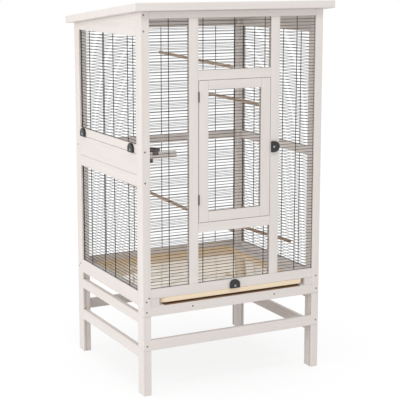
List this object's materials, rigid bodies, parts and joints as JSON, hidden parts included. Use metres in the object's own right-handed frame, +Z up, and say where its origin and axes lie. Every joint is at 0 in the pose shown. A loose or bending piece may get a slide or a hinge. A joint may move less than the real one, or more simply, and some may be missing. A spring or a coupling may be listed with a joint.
{
  "type": "bird cage",
  "caption": "Tall wooden bird cage on legs with a sloping roof, wire walls, a hinged door, a side feeding hatch and a pull-out tray.",
  "frame": {"origin": "on the floor, under the middle of the roof board's box", "axes": "+Z up, +Y from the front with the door to the back, +X to the right seen from the front"},
  "size_m": [0.874, 0.712, 1.5228],
  "materials": {
    "white_wood": "white-washed satin",
    "roof_wood": "white-washed satin",
    "wire": "black coated wire",
    "latch": "moulded black",
    "hinge": "dull zinc",
    "tray": "glossy cream",
    "bed": "plain brown hardboard",
    "perch": "plain light brown"
  },
  "bodies": {
    "cage": {"post_front_left": "white_wood", "post_front_right": "white_wood", "post_back_left": "white_wood", "post_back_right": "white_wood", "roof_board": "roof_wood", "front_top_rail": "white_wood", "front_bottom_rail": "white_wood", "front_stile_left": "white_wood", "front_stile_right": "white_wood", "door_header": "white_wood", "door_sill": "white_wood", "front_left_grille": "wire", "front_right_grille": "wire", "above_door_grille": "wire", "below_door_grille": "wire", "front_lower_rail": "white_wood", "front_stretcher": "white_wood", "left_top_board": "white_wood", "left_bottom_rail": "white_wood", "left_upper_stretcher": "white_wood", "left_lower_stretcher": "white_wood", "hatch_lower_rail": "white_wood", "hatch_upper_rail": "white_wood", "left_upper_grille": "wire", "left_lower_grille": "wire", "right_top_board": "white_wood", "right_bottom_rail": "white_wood", "right_upper_stretcher": "white_wood", "right_lower_stretcher": "white_wood", "right_mid_rail": "white_wood", "right_upper_grille": "wire", "right_lower_grille": "wire", "back_top_rail": "white_wood", "back_mid_rail": "white_wood", "back_bottom_rail": "white_wood", "back_stretcher": "white_wood", "back_upper_grille": "wire", "back_lower_grille": "wire", "upper_hinge_frame_leaf": "hinge", "lower_hinge_frame_leaf": "hinge", "tray_bed": "bed", "high_perch": "perch", "middle_perch": "perch", "low_perch": "perch", "corner_perch": "perch"},
    "door": {"door_stile_hinge_side": "white_wood", "door_stile_latch_side": "white_wood", "door_top_rail": "white_wood", "door_bottom_rail": "white_wood", "door_grille": "wire", "upper_hinge_door_leaf": "hinge", "lower_hinge_door_leaf": "hinge"},
    "door_latch": {"door_latch": "latch"},
    "tray": {"tray": "tray"},
    "tray_latch": {"tray_latch": "latch"},
    "hatch": {"hatch_board": "white_wood", "feeding_bar": "white_wood"},
    "hatch_latch_front": {"hatch_latch_front": "latch"},
    "hatch_latch_back": {"hatch_latch_back": "latch"}
  },
  "joints": [
    {"name": "door_hinge", "type": "hinge", "parent": "cage", "child": "door", "pos_m": [-0.1595, -0.3285, 0.67], "axis": [0, 0, -1], "range_deg": [0, 170]},
    {"name": "door_latch_turn", "type": "hinge", "parent": "cage", "child": "door_latch", "pos_m": [0.173, -0.326, 0.9485], "axis": [0, -1, 0], "range_deg": [-180, 0]},
    {"name": "tray_slide", "type": "slide", "parent": "cage", "child": "tray", "axis": [0, -1, 0], "range_m": [0, 0.55]},
    {"name": "tray_latch_turn", "type": "hinge", "parent": "cage", "child": "tray_latch", "pos_m": [0, -0.326, 0.4], "axis": [0, -1, 0], "range_deg": [-180, 0]},
    {"name": "hatch_slide", "type": "slide", "parent": "cage", "child": "hatch", "axis": [-1, 0, 0], "range_m": [0, 0.24]},
    {"name": "hatch_latch_front_turn", "type": "hinge", "parent": "cage", "child": "hatch_latch_front", "pos_m": [-0.4, -0.232, 0.9633], "axis": [-1, 0, 0], "range_deg": [-180, 0]},
    {"name": "hatch_latch_back_turn", "type": "hinge", "parent": "cage", "child": "hatch_latch_back", "pos_m": [-0.4, 0.26, 0.9633], "axis": [-1, 0, 0], "range_deg": [-180, 0]}
  ]
}
